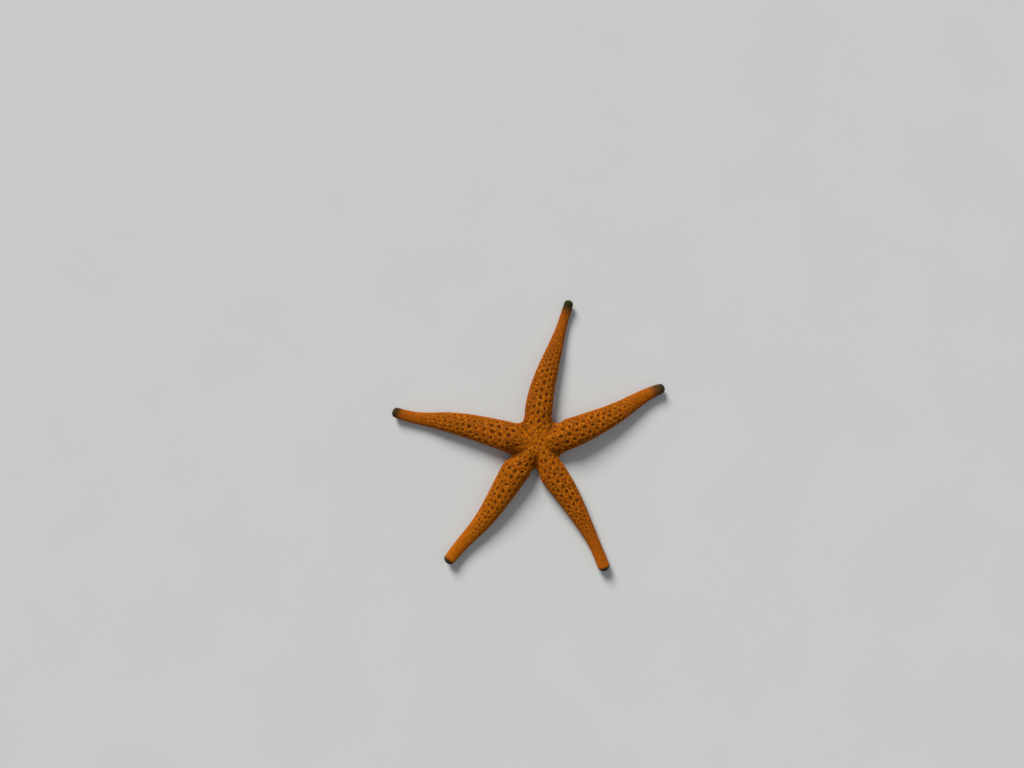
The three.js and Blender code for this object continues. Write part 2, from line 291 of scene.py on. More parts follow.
def crease_distance(index, angle):
    """How far along an arm's heading its crease lies, at each angle round the arm."""
    left, right = (
        crease_outline(notch, folded)[0] * math.cos(half_angle(index, notch))
        for notch, folded in (
            (notch_beside(index, True), angle),
            (notch_beside(index, False), 180 - angle),
        )
    )
    return np.where(angle <= 90, left, right)


def body_points(index, distance, angle):
    """Points of the whole body: the disc's patch up to DISC_REACH, and the arm beyond it."""
    distance, angle = np.broadcast_arrays(np.asarray(distance, float), np.asarray(angle, float))
    first = crease_distance(index, angle)
    share = np.clip((distance - first) / (DISC_REACH - first), 0.0, 1.0)
    left, right = (disc_side_points(index, share, angle, on_left) for on_left in (True, False))
    patch = np.where((angle <= 90)[..., None], left, right)
    beyond = arm_points(index, np.maximum(distance, DISC_REACH), angle)
    return np.where((distance < DISC_REACH)[..., None], patch, beyond)


def body_frames(index, distance, angle):
    """Points with their outward normals and the way that the arm runs there."""
    ahead, behind = (body_points(index, distance + step, angle) for step in (0.25, -0.25))
    after, before = (body_points(index, distance, angle + turn) for turn in (1, -1))
    forward = ahead - behind
    normal = unit(np.cross(after - before, forward))
    return body_points(index, distance, angle), normal, unit(forward)


def to_scene(points):
    return points * MM + DISC_CENTRE


# ---- Unwrap of the skin: one upright strip for each arm, cut along its groove ----

MAP_MARGIN = 0.03
MAP_RING_DISTANCE = 25.0  # where the ring that sets the strips' scale lies on the first arm


def strip_share(angle):
    """Share of the way round an arm, from the groove and back to it, by length of skin."""
    ring = np.linspace(-90.0, 270.0, 181)
    points = arm_points(0, MAP_RING_DISTANCE, ring)
    total = np.append(0.0, np.cumsum(np.linalg.norm(np.diff(points, axis=0), axis=-1)))
    return np.interp(angle, ring, total / total[-1])


def unwrap(index, distance, angle):
    """Place on the unwrap. Angles past the groove on the right side count on from it."""
    angle = np.where(np.asarray(angle) < -90, np.asarray(angle) + 360.0, angle)
    inner = 1 - 2 * MAP_MARGIN
    u = (index + MAP_MARGIN + inner * strip_share(angle)) / len(ARMS)
    v = MAP_MARGIN + inner * np.asarray(distance) / ARMS[index].length
    return np.stack(np.broadcast_arrays(u, v), -1)


# ---- Tables of pores and roots ----


def new_table(*columns):
    return {column: [] for column in columns}


def add_row(table, *values):
    for column, value in zip(table.values(), values):
        column.append(value)


# ---- Pores: pits in rows along the back and flanks, each row half a pitch on ----

ROW_SPREAD = 26.0  # degrees from row to row
ROWS_A_SIDE = 4
PORES_FROM = 2.2  # from the crease to a row's first pore
PORES_THIN_FROM = 0.45  # shares of an arm's length, where pores begin to shrink and end
PORES_END = 0.94
PORE_GAP = 1.1  # least distance between middles, by the sum of the two radii
PORE_CELL = 3.0  # side of the cells in which near pores are looked up
SMALL_PORE_TRIES = 150
SMALL_PORES_TO = 17.0
SMALL_PORE_GAP = 1.35
NO_PORE_NEAR = 9.0


def add_pores(pores, random, index, places, radii, depths, strengths, gap):
    """Adds the pores, in order, that stand clear of those already there."""
    places = np.array(places)
    for k, (point, normal, forward) in enumerate(zip(*body_frames(index, *places.T))):
        if pores["point"]:
            near = np.linalg.norm(np.array(pores["point"]) - point, axis=1)
            if np.any(near < gap * (radii[k] + np.array(pores["radius"]))):
                continue
        turn = random.normal(0, 0.5)
        axis = forward * math.cos(turn) + np.cross(normal, forward) * math.sin(turn)
        stretch, place = random.uniform(1.0, 1.28), (index, *places[k])
        add_row(pores, point, radii[k], depths[k], strengths[k], axis, stretch, place)


def pore_field(skin):
    """Rows of full-grown pores along every arm, then small ones scattered over the disc."""
    random = np.random.default_rng(skin.seed)
    pores = new_table("point", "radius", "depth", "strength", "axis", "stretch", "place")
    full, deep, pitch = skin.pore_radius / MM, skin.pore_depth / MM, skin.pore_pitch / MM
    for index, arm in enumerate(ARMS):
        rows = new_table("place", "radius", "depth", "strength")
        for row in sorted(range(-ROWS_A_SIDE, ROWS_A_SIDE + 1), key=abs):
            angle = 90.0 + ROW_SPREAD * row
            distance = float(crease_distance(index, np.array(angle))) + PORES_FROM
            distance += pitch / 2 if row % 2 else 0
            while distance < PORES_END * arm.length:
                taper = float(arm_width(index, distance)) / BASE_WIDTH
                share = distance / arm.length
                fade = 1 - 0.45 * float(smooth(PORES_THIN_FROM, PORES_END, share))
                young = 0.66 + 0.34 * float(smooth(3.0, 12.0, distance))
                size = taper**0.7 * fade * young * (1.04 - 0.11 * abs(row))
                size *= random.uniform(0.8, 1.14)
                place = (distance + random.normal(0, 0.24), angle + random.normal(0, 2.0))
                strength = 1 - 0.4 * float(smooth(0.6, 0.95, share))
                add_row(rows, place, full * size, deep * size * fade, strength)
                distance += pitch * taper * random.uniform(0.95, 1.05)
        add_pores(pores, random, index, *rows.values(), PORE_GAP)
    for index in range(len(ARMS)):
        places = random.uniform((0, 48), (SMALL_PORES_TO, 132), (SMALL_PORE_TRIES, 2))
        places = places[places[:, 0] > crease_distance(index, places[:, 1]) + 0.6]
        sizes = random.uniform(0.48, 0.6, len(places))
        marks = (full * sizes, deep * sizes * 0.5, 0 * sizes + 0.5)
        add_pores(pores, random, index, places, *marks, SMALL_PORE_GAP)
    return {name: np.array(values) for name, values in pores.items()}


def pore_reach(points, pores):
    """Distance to the nearest pore in pore radii, depth of its pit, and its darkness."""
    nearest = np.full(len(points), NO_PORE_NEAR)
    pit, dark = np.zeros(len(points)), np.zeros(len(points))
    uneven = 1 + 0.14 * ripple(points, (1.3, 1.7, 2.3), 6)
    squash = 1 - 1 / pores["stretch"] ** 2
    cells = np.floor(points / PORE_CELL).astype(int)
    cell = np.unique(cells, axis=0, return_inverse=True)[1].ravel()
    order = np.argsort(cell, kind="stable")
    for part in np.split(order, np.flatnonzero(np.diff(cell[order])) + 1):
        middle = points[part].mean(0)
        close = np.linalg.norm(pores["point"] - middle, axis=1) < PORE_CELL * 2
        if not close.any():
            continue
        gaps = points[part, None, :] - pores["point"][None, close, :]
        along_axis = (gaps * pores["axis"][close]).sum(-1)
        reach = (gaps**2).sum(-1) - squash[close] * along_axis**2
        shares = np.sqrt(np.maximum(0.0, reach)) / pores["radius"][close] * uneven[part, None]
        nearest[part] = shares.min(1)
        pit[part] = ((1 - smooth(0.3, 1.25, shares)) * pores["depth"][close]).max(1)
        dark[part] = ((1 - smooth(0.45, 1.15, shares)) * pores["strength"][close]).max(1)
    return nearest, pit, dark


# ---- Meshes ----


def link_object(name, data):
    made = bpy.data.objects.new(name, data)
    bpy.context.scene.collection.objects.link(made)
    return made


def store(mesh, name, rows, kind="FLOAT", domain="POINT"):
    """Keeps a value or a vector for every point, corner or face of a mesh."""
    attribute = mesh.attributes.new(name, kind, domain)
    number = np.int32 if kind == "INT" else np.float32
    field = "vector" if kind == "FLOAT_VECTOR" else "value"
    attribute.data.foreach_set(field, np.asarray(rows).astype(number).ravel())


def mesh_object(name, points, faces, uvs=None, values=None):
    """A mesh in scene metres, from points in millimetres round the disc's middle."""
    mesh = bpy.data.meshes.new(name)
    rows = [face if len(set(face)) == len(face) else list(dict.fromkeys(face)) for face in faces]
    mesh.from_pydata(to_scene(np.asarray(points)), [], rows)
    if uvs is not None:
        layer = mesh.uv_layers.new(name="OFBake")
        flat = [uv for row, four in zip(rows, uvs) for uv in four[: len(row)]]
        layer.data.foreach_set("uv", np.asarray(flat, np.float32).ravel())
    for key, column in (values or {}).items():
        store(mesh, key, column)
    mesh.shade_smooth()
    return link_object(name, mesh)


def ring_points(reach, level, sides):
    """Points round the upright axis: a ring for every row of reaches and levels."""
    turn = np.arange(sides) * (2 * math.pi / sides)
    reach, level, turn = np.broadcast_arrays(reach, level, turn)
    return np.stack([reach * np.cos(turn), reach * np.sin(turn), level], -1).reshape(-1, 3)


def spindle_faces(rings, sides):
    """Faces of a round shape: a point, rings of points over it, and a point on top."""
    faces = []
    last = 1 + (rings - 1) * sides
    for k in range(sides):
        after = (k + 1) % sides
        faces.append((0, 1 + after, 1 + k))
        for a in range(1, last, sides):
            faces.append((a + k, a + after, a + sides + after, a + sides + k))
        faces.append((last + k, last + after, last + sides))
    return faces


def settle(piece, slot, *nodes, material=None):
    """Gives a finished piece its material and its body, and hides the nodes that it stands in for;
    the slot is not used.
    """
    if material:
        piece.data.materials.append(material)
    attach(piece, BODY)
    if nodes:
        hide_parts(*nodes)


# ---- Skin ----

COAT_DEPTH = 0.26  # how deep the bare skin lies, to leave room for the granules
LOWEST_SKIN = 0.3  # over the ground
CAP_SINK = 0.34  # how much deeper it lies under an end plate
CREASE_WIDTH = 1.1
CREASE_SINK = 0.95
DISC_RIBS = 38
RIB_STEP = 0.43
RING_SPANS = ((-90, -76, 6), (-76, -58, 4), (-58, -25, 6), (-25, 90, 40))
TIP_RIB_ANGLES = (0, 14, 27, 39, 50, 60, 69, 77, 84)
RIM_HEIGHT = 0.07  # of the low rim round every pore
UNEVENNESS = 0.07
PLATES_FADE = (0.6, 0.95)  # shares of an arm's length over which plates and rims go flat
MOUTH_EDGE = (3.4, 4.3)  # from the mouth's middle, where the coat of granules begins


def ring_angles():
    """Angles round an arm, from the groove and back to it, closer together beside it."""
    half = np.unique(np.concatenate([np.linspace(*span) for span in RING_SPANS]))
    return np.concatenate([half, 180 - half[-2:0:-1]])


def rib_distances(index, ring):
    """Distance along the arm of every rib's points: disc ribs, arm ribs, rounded tip."""
    first = crease_distance(index, ring)
    disc = first + np.linspace(0, 1, DISC_RIBS + 1)[:, None] * (DISC_REACH - first)
    rounding, shoulder = tip_shape(ARMS[index])
    count = round((shoulder - DISC_REACH) / RIB_STEP)
    straight = np.linspace(DISC_REACH, shoulder, count + 1)[1:-1]
    tip = shoulder + rounding * sine(TIP_RIB_ANGLES)
    rest = np.concatenate([straight, tip])[:, None] * np.ones(len(ring))
    return np.concatenate([disc, rest])


def skin_grid():
    """Points, faces, unwrap, arm, distance and angle of the body as one closed surface."""
    ring = ring_angles()
    closed = np.append(ring, 270.0)
    count = len(ring)
    parts = []
    offset = 0
    for index, arm in enumerate(ARMS):
        ribs = rib_distances(index, ring)
        rows = len(ribs)
        grid = body_points(index, ribs, np.broadcast_to(ring, ribs.shape)).reshape(-1, 3)
        rib, spot = (part.ravel() for part in np.mgrid[0 : rows - 1, 0:count])
        corners = ((rib, spot), (rib, spot + 1), (rib + 1, spot + 1), (rib + 1, spot))
        quads = np.stack([r * count + s % count for r, s in corners], 1)
        strips = np.stack([unwrap(index, ribs[r, s % count], closed[s]) for r, s in corners], 1)
        last, apex = np.arange(count), np.full(count, rows * count)
        base = (rows - 1) * count
        fan = np.stack([base + last, base + (last + 1) % count, apex, apex], 1)
        low, high = (unwrap(index, ribs[-1], edge) for edge in (closed[:-1], closed[1:]))
        top = unwrap(index, arm.length, (closed[:-1] + closed[1:]) / 2)
        part = (
            np.vstack([grid, arm_points(index, arm.length, 0.0)]),
            np.vstack([quads, fan]) + offset,
            np.vstack([strips, np.stack([low, high, top, top], 1)]),
            np.full(rows * count + 1, index),
            np.append(ribs.ravel(), arm.length),
            np.append(np.tile(ring, rows), 90.0),
        )
        parts.append(part)
        offset += rows * count + 1
    return [np.concatenate(column) for column in zip(*parts)]


def joined(points, faces):
    """One number for points at the same place, so that the arms share their creases."""
    keys = np.round(points * 2000).astype(np.int64)
    _, first, inverse = np.unique(keys, axis=0, return_index=True, return_inverse=True)
    return first, inverse.ravel()[faces]


def outward_normals(points, faces):
    a, b, c, d = (points[column] for column in faces.T)
    total = np.zeros_like(points)
    for column in faces.T:
        np.add.at(total, column, np.cross(c - a, d - b))
    return unit(total)


def crease_share(points):
    """1 in the line of a crease between two arms, falling to 0 beside it."""
    out = np.hypot(points[:, 0], points[:, 1])
    share = np.zeros(len(points))
    for arm in ARMS:
        bearing, radius = arm.notch
        run = heading_vector(bearing) * radius - arm.crease_end
        length = math.hypot(*run)
        way = run / length
        offset = points[:, :2] - arm.crease_end
        beside = np.abs(offset @ np.array([way[1], -way[0]]))
        line = bell(beside, 0, CREASE_WIDTH) * smooth(-1.0, 0.6 * length, offset @ way)
        share = np.maximum(share, line * (1 - smooth(radius - 0.4, radius + 1.2, out)))
    return share


def groove_share(points, arm_indices, distances):
    """How far sideways points lie from their arm's middle line, in groove half widths."""
    share = np.zeros(len(points))
    for index in range(len(ARMS)):
        part = arm_indices == index
        offset = points[part, :2] - centre_at(index, distances[part])
        beside = np.abs((offset * leftward(index, distances[part])).sum(-1))
        share[part] = beside / (GROOVE_HALF_WIDTH * arm_width(index, distances[part]) / 2)
    return share


def of_arms(field, arm_indices):
    return np.array([getattr(arm, field) for arm in ARMS])[arm_indices]


def marks_at(arm_indices, distances, angles, nearest, dark, points):
    """The markings that skin and granules share, each from 0 to 1. crease sets where the skin sinks
    into a crease, and it is also painted shade along the creases.
    """
    lengths = of_arms("length", arm_indices)
    share = distances / lengths
    from_end = (lengths - distances) / of_arms("dark_reach", arm_indices)
    height = sine(angles)
    blotch = ripple(points, (11.0, 7.0, 5.3, 3.9), 4)
    net = smooth(0.95, 1.25, nearest) * (1 - smooth(1.45, 2.1, nearest))
    net *= 1 - 0.75 * smooth(0.45, 0.95, share)
    centre = 0.85 * (1 - smooth(4, 15, np.hypot(points[:, 0], points[:, 1])))
    bright = of_arms("bright", arm_indices) * smooth(0.15, 0.55, share)
    return {
        "pore": dark,
        "net": np.maximum.reduce([net, centre, bright]) * smooth(-0.2, 0.55, height),
        "tip": 1 - smooth(2.8, 7.5, from_end + 0.8 * blotch),
        # crease: where the skin sinks into a crease, and where the material paints shade along it.
        "crease": crease_share(points) * smooth(-0.1, 0.5, height),
        "belly": 1 - smooth(-0.75, -0.2, height),
        "blotch": 0.3 + 0.3 * blotch + 0.5 * (1 - smooth(0.3, 0.8, height)),
        "plate": (1 - 0.85 * smooth(0.5, 0.9, share)) * smooth(-0.1, 0.6, height),
    }


def build_skin(skin):
    """The skin's mesh with its marks, and the table of its pores."""
    points, faces, uvs, *places = skin_grid()
    first, faces = joined(points, faces)
    points, arms, distances, angles = (column[first] for column in (points, *places))
    normals = outward_normals(points, faces)
    pores = pore_field(skin)
    nearest, pit, dark = pore_reach(points, pores)
    lengths = of_arms("length", arms)
    share = distances / lengths
    above = smooth(-0.5, 0.1, sine(angles))
    caps = of_arms("cap", arms)
    under_cap = (1 - smooth(caps - 0.35, caps + 0.2, lengths - distances)) * above
    marks = marks_at(arms, distances, angles, nearest, dark, points)
    plated = above * (1 - smooth(*PLATES_FADE, share))
    dips = skin.plate_swell / MM * (1 - smooth(0.9, 1.9, nearest)) * plated
    rim = RIM_HEIGHT * bell(nearest, 1.3, 0.28) * plated
    uneven = UNEVENNESS * (ripple(points, (13.0, 8.5, 6.0), 2) - 1) * plated
    height = rim + uneven - dips - pit - COAT_DEPTH
    height -= CAP_SINK * under_cap + CREASE_SINK * marks["crease"]
    moved = points + normals * height[:, None]
    moved[:, 2] = np.maximum(moved[:, 2], LOWEST_SKIN)
    in_mouth = 1 - smooth(*MOUTH_EDGE, np.hypot(points[:, 0], points[:, 1]))
    groove = 1 - smooth(0.85, 1.0, groove_share(points, arms, distances))
    below = sine(angles) < -0.4
    bare = [marks["pore"] * 1.4, groove * below, in_mouth * below, under_cap * 1.2]
    marks["coat"] = np.clip(1 - np.maximum.reduce(bare), 0, 1)
    marks["grain"] = 1 - 0.1 * smooth(0.5, 1.0, share)
    piece = mesh_object("skin", moved, faces.tolist(), uvs.tolist(), marks)
    store(piece.data, "arm", arms[faces[:, 2]], "INT", "FACE")
    return piece, pores


# ---- Node trees ----

PATCH_SIZE = 0.003  # side of the patch that each granule or foot has on the unwrap
BEAD_FLATNESS = 0.72
MOST_GRANULES = 3.0e7  # to the square metre, which is more than there is room for
GRANULE_SIZES = {"Min": 0.84, "Max": 1.14}
VECTOR = "FLOAT_VECTOR"
TIMES = {"operation": "MULTIPLY"}


class Tree:
    """Short hand for adding nodes to a tree and joining them."""

    def __init__(self, tree):
        self.tree = tree

    def add(self, kind, settings=None, **inputs):
        node = self.tree.nodes.new(kind)
        for key, value in (settings or {}).items():
            setattr(node, key, value)
        for key, value in inputs.items():
            self.put(self.pick(node.inputs, key.replace("_", " ")), value)
        return node

    def put(self, socket, value):
        """Joins an input to another node's output, or sets it to a plain value."""
        if isinstance(value, bpy.types.NodeSocket):
            self.tree.links.new(value, socket)
        else:
            socket.default_value = value

    @staticmethod
    def pick(sockets, name):
        return next(s for s in sockets if s.enabled and s.name.lower() == name.lower())

    def out(self, node, name):
        return self.pick(node.outputs, name)

    def maths(self, settings, *values, kind="ShaderNodeMath"):
        """Result of a node whose inputs take the values in order."""
        node = self.add(kind, settings)
        for socket, value in zip(node.inputs, values):
            self.put(socket, value)
        return node.outputs[0]

    def named(self, name, kind="FLOAT"):
        node = self.add("GeometryNodeInputNamedAttribute", {"data_type": kind}, Name=name)
        return self.out(node, "Attribute")

    def keep(self, geometry, name, value, kind, domain="POINT"):
        """The geometry with a value stored on it under a name."""
        settings = {"data_type": kind, "domain": domain}
        inputs = {"Geometry": geometry, "Name": name, "Value": value}
        return self.out(self.add("GeometryNodeStoreNamedAttribute", settings, **inputs), "Geometry")


def new_shape_tree(name, inputs):
    """A tree with named inputs and a finish: its group, helper, inputs and identifiers."""
    group = bpy.data.node_groups.new(name, "GeometryNodeTree")
    names = {}
    for label, kind in {"Geometry": "Geometry", **inputs, "Material": "Material"}.items():
        socket = group.interface.new_socket(label, in_out="INPUT", socket_type="NodeSocket" + kind)
        names[label] = socket.identifier
    group.interface.new_socket("Geometry", in_out="OUTPUT", socket_type="NodeSocketGeometry")
    tree = Tree(group)
    start = tree.add("NodeGroupInput")
    return group, tree, {label: tree.out(start, label) for label in names}, names


def finish_shape_tree(tree, placed, material):
    """Ends a tree: instances made real, patches on the unwrap, soft shading and finish."""
    real = tree.add("GeometryNodeRealizeInstances", Geometry=tree.out(placed, "Instances"))
    patch, root = tree.named("patch", VECTOR), tree.named("root_uv", VECTOR)
    size = (PATCH_SIZE, PATCH_SIZE, 0.0)
    settings = {"operation": "MULTIPLY_ADD"}
    spread = tree.maths(settings, patch, size, root, kind="ShaderNodeVectorMath")
    mapped = tree.keep(tree.out(real, "Geometry"), "OFBake", spread, "FLOAT2", "CORNER")
    soft = tree.out(tree.add("GeometryNodeSetShadeSmooth", Geometry=mapped), "Geometry")
    done = tree.add("GeometryNodeSetMaterial", Geometry=soft, Material=material)
    tree.put(tree.add("NodeGroupOutput").inputs[0], tree.out(done, "Geometry"))


def granule_tree():
    """Granules over a skin: points kept a spacing apart, each with a low round bead."""
    inputs = {"Arm": "Int", "Spacing": "Float", "Radius": "Float", "Seed": "Int"}
    group, tree, given, names = new_shape_tree("granule coat", inputs)
    settings = {"data_type": "INT", "operation": "EQUAL"}
    same = tree.add("FunctionNodeCompare", settings, A=tree.named("arm", "INT"), B=given["Arm"])
    spots = tree.add(
        "GeometryNodeDistributePointsOnFaces",
        {"distribute_method": "POISSON"},
        Mesh=given["Geometry"],
        Selection=same.outputs["Result"],
        Distance_Min=given["Spacing"],
        Density_Max=MOST_GRANULES,
        Density_Factor=tree.named("coat"),
        Seed=given["Seed"],
    )
    tone = tree.add("FunctionNodeRandomValue", {"data_type": "FLOAT"}, Seed=given["Seed"])
    toned = tree.keep(tree.out(spots, "Points"), "tone", tree.out(tone, "Value"), "FLOAT")
    rooted = tree.keep(toned, "root_uv", tree.named("OFBake", VECTOR), VECTOR)
    bead = tree.add("GeometryNodeMeshIcoSphere", Radius=1.0, Subdivisions=1)
    ball, ball_map = tree.out(bead, "Mesh"), tree.out(bead, "UV Map")
    lot = tree.add("FunctionNodeRandomValue", {"data_type": "FLOAT"}, **GRANULE_SIZES, Seed=7)
    size = tree.maths(TIMES, tree.named("grain"), tree.out(lot, "Value"))
    wide = tree.maths(TIMES, size, given["Radius"])
    high = tree.maths(TIMES, wide, BEAD_FLATNESS)
    placed = tree.add(
        "GeometryNodeInstanceOnPoints",
        Points=rooted,
        Instance=tree.keep(ball, "patch", ball_map, VECTOR, "CORNER"),
        Rotation=tree.out(spots, "Rotation"),
        Scale=tree.maths({}, wide, wide, high, kind="ShaderNodeCombineXYZ"),
    )
    finish_shape_tree(tree, placed, given["Material"])
    return group, names


def growth_tree():
    """A shape set on every root, turned to its lean and stretched to its growth."""
    group, tree, given, names = new_shape_tree("growth on roots", {"Shape": "Object"})
    shape = tree.add("GeometryNodeObjectInfo", Object=given["Shape"])
    lean = tree.named("lean", VECTOR)
    turned = tree.add("FunctionNodeAlignRotationToVector", {"axis": "Z"}, Vector=lean)
    placed = tree.add(
        "GeometryNodeInstanceOnPoints",
        Points=given["Geometry"],
        Instance=tree.out(shape, "Geometry"),
        Rotation=tree.out(turned, "Rotation"),
        Scale=tree.named("grow", VECTOR),
    )
    finish_shape_tree(tree, placed, given["Material"])
    return group, names


def run_tree(source, group, names, values, name):
    """Runs a geometry tree on an object and keeps the result as a plain mesh."""
    modifier = source.modifiers.new("shape", "NODES")
    modifier.node_group = group
    for label, value in values.items():
        modifier[names[label]] = value
    graph = bpy.context.evaluated_depsgraph_get()
    mesh = bpy.data.meshes.new_from_object(source.evaluated_get(graph))
    source.modifiers.remove(modifier)
    mesh.name = name
    return link_object(name, mesh)


def turned_shape(name, profile, sides):
    """A round closed shape of unit height from radii and levels, with a patch map."""
    radii, levels = np.array(profile[1:-1]).T[..., None]
    bottom, top = ([(0.0, 0.0, level)] for _, level in (profile[0], profile[-1]))
    points = np.vstack([bottom, ring_points(radii, levels, sides), top])
    mesh = bpy.data.meshes.new(name)
    mesh.from_pydata(points, [], spindle_faces(len(radii), sides))
    corners = [loop.vertex_index for loop in mesh.loops]
    store(mesh, "patch", points[corners], VECTOR, "CORNER")
    return bpy.data.objects.new(name, mesh)


def new_roots():
    return new_table("point", "lean", "grow", "root_uv")


def grow(name, shape, roots, material):
    """Sets a shape on roots, each a point, a lean, a growth and a place on the unwrap."""
    count = len(roots["point"])
    mesh = bpy.data.meshes.new(name + " roots")
    mesh.from_pydata(to_scene(np.asarray(roots["point"])), [], [])
    store(mesh, "lean", roots["lean"], VECTOR)
    store(mesh, "grow", np.asarray(roots["grow"]) * MM, VECTOR)
    store(mesh, "root_uv", np.hstack([roots["root_uv"], np.zeros((count, 1))]), VECTOR)
    store(mesh, "tone", np.random.default_rng(count).random(count))
    source = link_object(name + " roots", mesh)
    group, names = growth_tree()
    piece = run_tree(source, group, names, {"Shape": shape, "Material": material}, name)
    bpy.data.objects.remove(source)
    bpy.data.objects.remove(shape)
    return piece


# ---- Finishes ----

PLATE_WIDTH = 1.9  # in mm, of the small plates that show through the skin

# Dark and light tone, size of the drift in mm, roughness, height of the bump in mm, wet coat.
PLAIN_FINISHES = {
    "papula": ((0.15, 0.042, 0.001), (0.29, 0.084, 0.001), 0.5, 0.6, 0.02, 0.0),
    "end plate": ((0.012, 0.008, 0.002), (0.05, 0.032, 0.009), 1.0, 0.6, 0.05, 0.0),
    "eyespot": ((0.20, 0.012, 0.008), (0.42, 0.03, 0.015), 0.25, 0.3, 0.02, 0.4),
    "sieve plate": ((0.27, 0.066, 0.001), (0.42, 0.112, 0.001), 0.6, 0.8, 0.03, 0.0),
    "tube foot": ((0.62, 0.30, 0.08), (0.80, 0.50, 0.20), 0.8, 0.32, 0.03, 0.3),
    "groove spine": ((0.58, 0.24, 0.05), (0.78, 0.45, 0.16), 0.7, 0.5, 0.02, 0.0),
    "mouth lip": ((0.46, 0.17, 0.04), (0.66, 0.33, 0.11), 0.9, 0.35, 0.04, 0.3),
}


def start_material(name, roughness, specular, coat=0.0):
    material = bpy.data.materials.new(name)
    material.use_nodes = True
    shader = next(n for n in material.node_tree.nodes if n.type == "BSDF_PRINCIPLED")
    shader.inputs["Roughness"].default_value = roughness
    shader.inputs["Specular IOR Level"].default_value = specular
    shader.inputs["Coat Weight"].default_value = coat
    shader.inputs["Coat Roughness"].default_value = 0.35
    return material, Tree(material.node_tree), shader


def blend_colour(tree, share, low, high, mode="MIX"):
    settings = {"data_type": "RGBA", "blend_type": mode}
    return tree.out(tree.add("ShaderNodeMix", settings, Factor=share, A=low, B=high), "Result")


def scaled(tree, value, factor, plus=0.0):
    """A value times a factor plus a constant, held between 0 and 1."""
    settings = {"operation": "MULTIPLY_ADD", "use_clamp": True}
    return tree.maths(settings, value, factor, plus)


def mark(tree, name):
    return tree.add("ShaderNodeAttribute", {"attribute_name": name}).outputs["Fac"]


def pattern(tree, kind, size_mm, **inputs):
    """A pattern on the piece's own coordinates, with features of about a given size."""
    place = tree.add("ShaderNodeTexCoord").outputs["Object"]
    return tree.add(kind, Vector=place, Scale=1.0 / (size_mm * MM), **inputs)


def cloud(tree, size_mm, detail=2.0, roughness=0.5):
    noise = pattern(tree, "ShaderNodeTexNoise", size_mm, Detail=detail, Roughness=roughness)
    return noise.outputs["Fac"]


def bumped(tree, shader, height, distance_mm, strength=1.0):
    bump = tree.add("ShaderNodeBump", Strength=strength, Distance=distance_mm * MM, Height=height)
    tree.put(shader.inputs["Normal"], bump.outputs["Normal"])


def living_material(name, tones, depth):
    """Orange flesh that follows the marks of skin and granules. depth is painted shade: it darkens
    the bare skin that lies deep between the granules.
    """
    material, tree, shader = start_material(name, 0.6, 0.08)
    mottle = scaled(tree, cloud(tree, 1.6, 3.0), 2.2, -0.6)
    stain = scaled(tree, cloud(tree, 3.4, 3.0), 2.4, -1.0)
    cells = pattern(tree, "ShaderNodeTexVoronoi", PLATE_WIDTH)
    plate = scaled(tree, cells.outputs["Distance"], -3.2, 1.5)
    plated = mark(tree, "plate")
    between = tree.maths(TIMES, scaled(tree, plate, -0.75, 0.75), plated)
    layers = (
        (scaled(tree, mottle, 0.3), tones.net),
        (scaled(tree, stain, 0.45), tones.stain),
        (between, tones.stain),
        (tree.maths(TIMES, scaled(tree, plate, 0.65), plated), tones.net),
        (scaled(tree, mark(tree, "net"), 0.65), tones.net),
        (scaled(tree, between, 0.36), tones.stain),
        (mark(tree, "belly"), tones.belly),
        # Painted shade along the creases between the arms, in the pore's dark brown.
        (scaled(tree, mark(tree, "crease"), 0.8), tones.pore),
        (mark(tree, "pore"), tones.pore),
        (mark(tree, "tip"), tones.tip),
    )
    colour = blend_colour(tree, mark(tree, "blotch"), tones.back, tones.back_warm)
    for share, tone in layers:
        colour = blend_colour(tree, share, colour, tone)
    if depth:
        # Painted shade: the bare skin between the granules is darkened evenly by depth.
        painted_shade_and_tone = (1 - depth, 1 - depth, 1 - depth, 1)
        bumped(tree, shader, cloud(tree, 0.22, 2.0, 0.6), 0.05, 0.5)
    else:
        # Granules: each takes a random tone of its own, lighter or darker.
        light = scaled(tree, mark(tree, "tone"), 0.42, 0.79)
        painted_shade_and_tone = tree.maths({}, light, light, light, kind="ShaderNodeCombineColor")
        bumped(tree, shader, cloud(tree, 0.12, 2.0), 0.02, 0.5)
    colour = blend_colour(tree, 1.0, colour, painted_shade_and_tone, "MULTIPLY")
    tree.put(shader.inputs["Base Color"], colour)
    return material


def plain_material(name):
    """A tone that drifts between two colours, with a fine bump, as PLAIN_FINISHES has it."""
    dark, light, size_mm, roughness, bump_mm, coat = PLAIN_FINISHES[name]
    material, tree, shader = start_material(name, roughness, 0.1, coat)
    share = scaled(tree, cloud(tree, size_mm, 3.0, 0.6), 2.0, -0.5)
    tree.put(shader.inputs["Base Color"], blend_colour(tree, share, (*dark, 1), (*light, 1)))
    bumped(tree, shader, cloud(tree, size_mm * 0.3, 3.0, 0.6), bump_mm, 0.8)
    return material


# ---- Settings ----


def colour_property(name, about, value):
    return FloatVectorProperty(
        name=name, description=about, subtype="COLOR", size=4, min=0, max=1, default=(*value, 1)
    )


def length_property(name, about, millimetres):
    return FloatProperty(
        name=name, description=about, default=millimetres * MM, min=0, unit="LENGTH", precision=5
    )


class SkinSettings(PropertyGroup):
    pore_pitch: length_property("Pore pitch", "Spacing of the pores along a row at the disc", 4.1)
    pore_radius: length_property("Pore radius", "Radius of a full-grown pore", 1.0)
    pore_depth: length_property("Pore depth", "Depth of a full-grown pore", 0.5)
    plate_swell: length_property("Plate swell", "How far the plates stand up between pores", 0.14)
    seed: IntProperty(name="Seed", description="Scatter of the pores", default=11)


